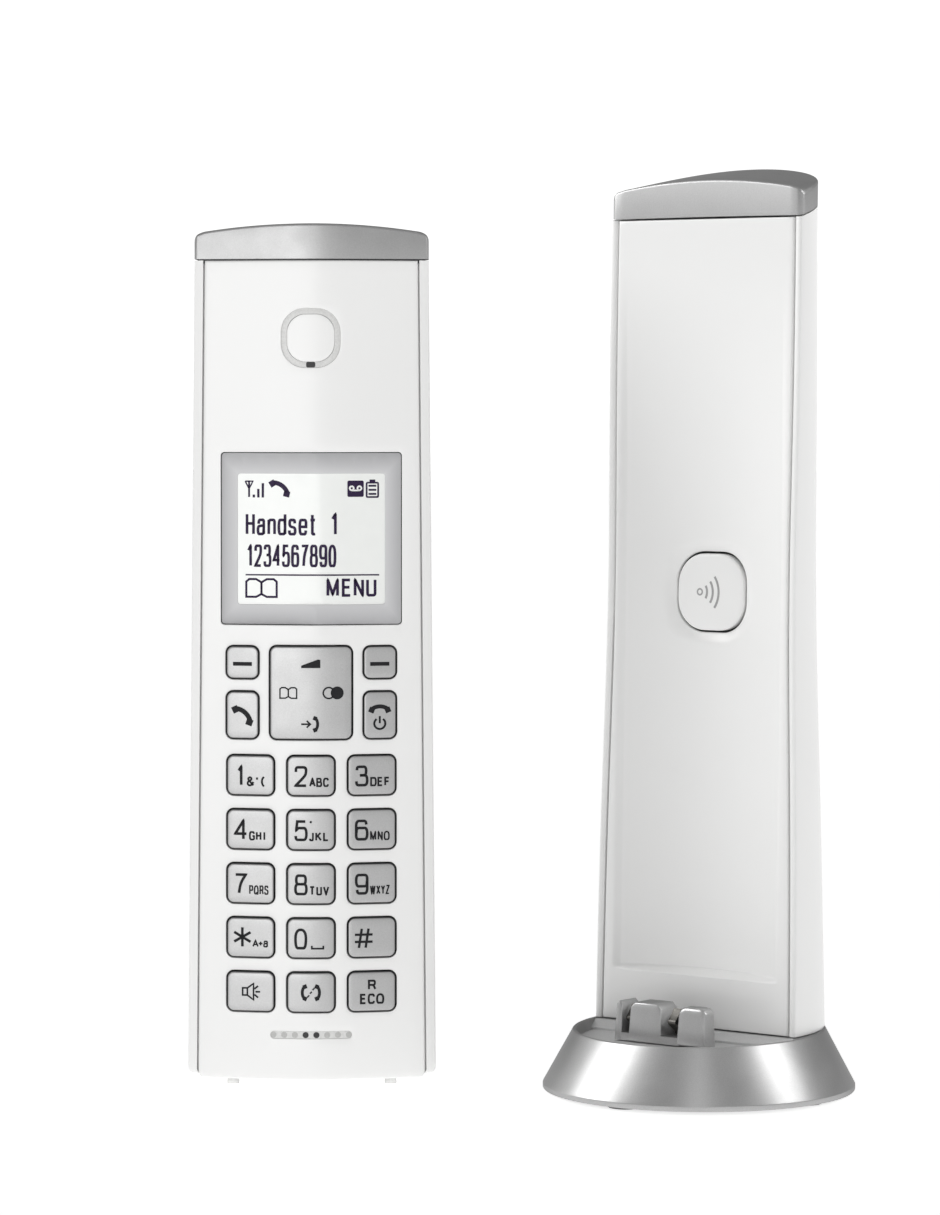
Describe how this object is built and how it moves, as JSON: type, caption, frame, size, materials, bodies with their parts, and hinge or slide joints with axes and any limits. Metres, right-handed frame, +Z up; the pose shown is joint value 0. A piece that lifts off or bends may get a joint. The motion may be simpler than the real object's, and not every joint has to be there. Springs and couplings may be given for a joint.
{
  "type": "cordless phone with base",
  "caption": "Slim cordless handset with keypad and display, standing beside a tall column-shaped charging base on a round conical foot.",
  "frame": {"origin": "on the floor, under the middle of the whole object's box", "axes": "+Z up; the handset faces -Y; the base's front is turned 37.5 degrees clockwise from -Y seen from above; +X from the handset towards the base"},
  "size_m": [0.139, 0.0648, 0.1914],
  "materials": {
    "white_plastic": "glossy white moulded plastic",
    "silver_plastic": "satin silver lacquer on plastic",
    "key_silver": "satin silver lacquer with dark printed legends",
    "display_lens": "clear lens with a silver printed frame",
    "light_grey_plastic": "fine matt",
    "dark_plastic": "matt",
    "board_green": "solder mask",
    "grey_silicone": "matt silicone",
    "contact_metal": "polished spring contact",
    "steel": "plain",
    "cell_sleeve": "shrink sleeve",
    "rubber": "matt"
  },
  "bodies": {
    "base": {"foot_shell": "silver_plastic", "bottom_plate": "dark_plastic", "ballast_plate": "steel", "rubber_foot_1": "rubber", "rubber_foot_2": "rubber", "rubber_foot_3": "rubber", "rubber_foot_4": "rubber", "foot_screw_left": "steel", "foot_screw_right": "steel", "charging_cradle": "silver_plastic", "line_jack": "dark_plastic", "power_jack": "dark_plastic", "column_rear_shell": "white_plastic", "column_front_panel": "white_plastic", "column_cap": "silver_plastic", "base_circuit_board": "board_green", "locator_switch": "dark_plastic"},
    "locator_button": {"locator_button": "white_plastic"},
    "charge_contact_left": {"charge_contact_left": "contact_metal"},
    "charge_contact_right": {"charge_contact_right": "contact_metal"},
    "handset": {"handset_front_cover": "white_plastic", "handset_rear_cover": "white_plastic", "handset_cap": "silver_plastic", "display_window": "display_lens", "lcd_module": "light_grey_plastic", "earpiece_ring": "light_grey_plastic", "earpiece_speaker": "dark_plastic", "microphone_strip": "light_grey_plastic", "microphone": "steel", "keypad_mat": "grey_silicone", "handset_circuit_board": "board_green", "battery_cell_left": "cell_sleeve", "battery_cell_right": "cell_sleeve", "loudspeaker": "dark_plastic", "handset_contact_left": "contact_metal", "handset_contact_right": "contact_metal", "case_screw_left": "steel", "case_screw_right": "steel"},
    "battery_door": {"battery_door": "white_plastic"},
    "navigation_pivot": {"navigation_pivot": "dark_plastic"},
    "key_navigation": {"key_navigation": "key_silver"},
    "key_1": {"key_1": "key_silver"},
    "key_2": {"key_2": "key_silver"},
    "key_3": {"key_3": "key_silver"},
    "key_4": {"key_4": "key_silver"},
    "key_5": {"key_5": "key_silver"},
    "key_6": {"key_6": "key_silver"},
    "key_7": {"key_7": "key_silver"},
    "key_8": {"key_8": "key_silver"},
    "key_9": {"key_9": "key_silver"},
    "key_star": {"key_star": "key_silver"},
    "key_0": {"key_0": "key_silver"},
    "key_hash": {"key_hash": "key_silver"},
    "key_speaker": {"key_speaker": "key_silver"},
    "key_intercom": {"key_intercom": "key_silver"},
    "key_recall": {"key_recall": "key_silver"},
    "key_soft_left": {"key_soft_left": "key_silver"},
    "key_soft_right": {"key_soft_right": "key_silver"},
    "key_talk": {"key_talk": "key_silver"},
    "key_off": {"key_off": "key_silver"}
  },
  "joints": [
    {"name": "handset_lift", "type": "slide", "parent": "base", "child": "handset", "axis": [0, 0, 1], "range_m": [0, 0.2]},
    {"name": "battery_door_release", "type": "slide", "parent": "handset", "child": "battery_door", "axis": [0, 1, 0], "range_m": [0, 0.012]},
    {"name": "locator_press", "type": "slide", "parent": "base", "child": "locator_button", "axis": [0.6088, 0.7934, 0], "range_m": [0, 0.0008], "stiffness_N_per_m": 400},
    {"name": "charge_contact_left_spring", "type": "slide", "parent": "base", "child": "charge_contact_left", "axis": [0.6088, 0.7934, 0], "range_m": [0, 0.0008], "stiffness_N_per_m": 400},
    {"name": "charge_contact_right_spring", "type": "slide", "parent": "base", "child": "charge_contact_right", "axis": [0.6088, 0.7934, 0], "range_m": [0, 0.0008], "stiffness_N_per_m": 400},
    {"name": "navigation_tilt_up_down", "type": "hinge", "parent": "handset", "child": "navigation_pivot", "pos_m": [-0.04355, 0.01312, 0.08225], "axis": [1, 0, 0], "range_deg": [-1.5, 1.5], "stiffness_Nm_per_rad": 0.5},
    {"name": "navigation_tilt_left_right", "type": "hinge", "parent": "navigation_pivot", "child": "key_navigation", "pos_m": [-0.04355, 0.01312, 0.08225], "axis": [0, 0, 1], "range_deg": [-1.5, 1.5], "stiffness_Nm_per_rad": 0.5},
    {"name": "key_1_press", "type": "slide", "parent": "handset", "child": "key_1", "axis": [0, 1, 0], "range_m": [0, 0.0005], "stiffness_N_per_m": 400},
    {"name": "key_2_press", "type": "slide", "parent": "handset", "child": "key_2", "axis": [0, 1, 0], "range_m": [0, 0.0005], "stiffness_N_per_m": 400},
    {"name": "key_3_press", "type": "slide", "parent": "handset", "child": "key_3", "axis": [0, 1, 0], "range_m": [0, 0.0005], "stiffness_N_per_m": 400},
    {"name": "key_4_press", "type": "slide", "parent": "handset", "child": "key_4", "axis": [0, 1, 0], "range_m": [0, 0.0005], "stiffness_N_per_m": 400},
    {"name": "key_5_press", "type": "slide", "parent": "handset", "child": "key_5", "axis": [0, 1, 0], "range_m": [0, 0.0005], "stiffness_N_per_m": 400},
    {"name": "key_6_press", "type": "slide", "parent": "handset", "child": "key_6", "axis": [0, 1, 0], "range_m": [0, 0.0005], "stiffness_N_per_m": 400},
    {"name": "key_7_press", "type": "slide", "parent": "handset", "child": "key_7", "axis": [0, 1, 0], "range_m": [0, 0.0005], "stiffness_N_per_m": 400},
    {"name": "key_8_press", "type": "slide", "parent": "handset", "child": "key_8", "axis": [0, 1, 0], "range_m": [0, 0.0005], "stiffness_N_per_m": 400},
    {"name": "key_9_press", "type": "slide", "parent": "handset", "child": "key_9", "axis": [0, 1, 0], "range_m": [0, 0.0005], "stiffness_N_per_m": 400},
    {"name": "key_star_press", "type": "slide", "parent": "handset", "child": "key_star", "axis": [0, 1, 0], "range_m": [0, 0.0005], "stiffness_N_per_m": 400},
    {"name": "key_0_press", "type": "slide", "parent": "handset", "child": "key_0", "axis": [0, 1, 0], "range_m": [0, 0.0005], "stiffness_N_per_m": 400},
    {"name": "key_hash_press", "type": "slide", "parent": "handset", "child": "key_hash", "axis": [0, 1, 0], "range_m": [0, 0.0005], "stiffness_N_per_m": 400},
    {"name": "key_speaker_press", "type": "slide", "parent": "handset", "child": "key_speaker", "axis": [0, 1, 0], "range_m": [0, 0.0005], "stiffness_N_per_m": 400},
    {"name": "key_intercom_press", "type": "slide", "parent": "handset", "child": "key_intercom", "axis": [0, 1, 0], "range_m": [0, 0.0005], "stiffness_N_per_m": 400},
    {"name": "key_recall_press", "type": "slide", "parent": "handset", "child": "key_recall", "axis": [0, 1, 0], "range_m": [0, 0.0005], "stiffness_N_per_m": 400},
    {"name": "key_soft_left_press", "type": "slide", "parent": "handset", "child": "key_soft_left", "axis": [0, 1, 0], "range_m": [0, 0.0005], "stiffness_N_per_m": 400},
    {"name": "key_soft_right_press", "type": "slide", "parent": "handset", "child": "key_soft_right", "axis": [0, 1, 0], "range_m": [0, 0.0005], "stiffness_N_per_m": 400},
    {"name": "key_talk_press", "type": "slide", "parent": "handset", "child": "key_talk", "axis": [0, 1, 0], "range_m": [0, 0.0005], "stiffness_N_per_m": 400},
    {"name": "key_off_press", "type": "slide", "parent": "handset", "child": "key_off", "axis": [0, 1, 0], "range_m": [0, 0.0005], "stiffness_N_per_m": 400}
  ]
}
